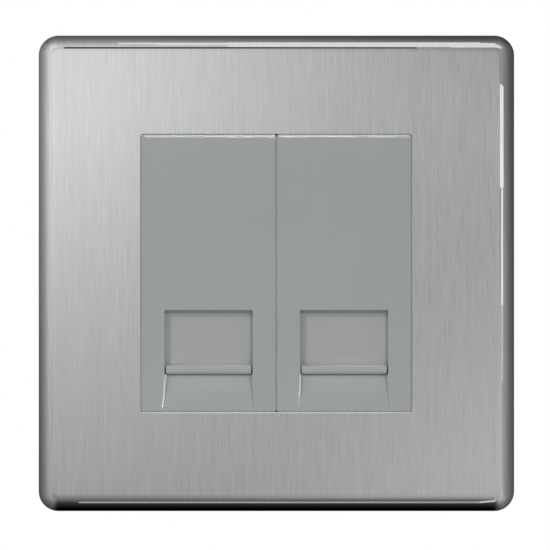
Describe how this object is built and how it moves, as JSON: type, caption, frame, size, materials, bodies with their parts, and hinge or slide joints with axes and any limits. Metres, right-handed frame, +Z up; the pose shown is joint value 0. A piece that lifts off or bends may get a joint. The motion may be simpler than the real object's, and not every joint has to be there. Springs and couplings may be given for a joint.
{
  "type": "double telephone socket",
  "caption": "Square brushed-steel wall plate with grey shuttered telephone outlets side by side, for a single wall box.",
  "frame": {"origin": "centre of the plate on the wall plane, midway between the two box screws", "axes": "+X right as seen from the room, +Y into the wall along the screws, +Z up"},
  "size_m": [0.086, 0.0265, 0.086],
  "materials": {
    "brushed_steel": "brushed upright, rolled edge polished",
    "grey_plastic": "fine satin moulding",
    "shutter_plastic": "fine satin moulding",
    "black_plastic": "matt moulding",
    "dark_grey_plastic": "matt moulding",
    "ivory_plastic": "satin moulding",
    "circuit_board": "glass-fibre board with green lacquer",
    "contact_bronze": "plated phosphor bronze",
    "tinned_brass": "tin plate",
    "spring_steel": "drawn wire",
    "zinc_screws": "bright zinc plate"
  },
  "bodies": {
    "base": {"mounting_frame": "dark_grey_plastic", "box_screws": "zinc_screws", "module_body_left": "grey_plastic", "shutter_spring_left": "spring_steel", "jack_housing_left": "black_plastic", "contact_springs_left": "contact_bronze", "circuit_board_left": "circuit_board", "idc_block_left": "ivory_plastic", "idc_blades_left": "tinned_brass", "rear_cover_left": "dark_grey_plastic", "module_body_right": "grey_plastic", "shutter_spring_right": "spring_steel", "jack_housing_right": "black_plastic", "contact_springs_right": "contact_bronze", "circuit_board_right": "circuit_board", "idc_block_right": "ivory_plastic", "idc_blades_right": "tinned_brass", "rear_cover_right": "dark_grey_plastic"},
    "plate": {"front_plate": "brushed_steel", "clip_frame": "black_plastic"},
    "shutter_left": {"shutter_left": "shutter_plastic"},
    "shutter_right": {"shutter_right": "shutter_plastic"}
  },
  "joints": [
    {"name": "plate_pull", "type": "slide", "parent": "base", "child": "plate", "axis": [0, -1, 0], "range_m": [0, 0.02]},
    {"name": "shutter_left_slide", "type": "slide", "parent": "base", "child": "shutter_left", "axis": [0, 0, 1], "range_m": [0, 0.009], "stiffness_N_per_m": 60, "springref_m": -0.008, "deforming": ["shutter_spring_left"]},
    {"name": "shutter_right_slide", "type": "slide", "parent": "base", "child": "shutter_right", "axis": [0, 0, 1], "range_m": [0, 0.009], "stiffness_N_per_m": 60, "springref_m": -0.008, "deforming": ["shutter_spring_right"]}
  ]
}
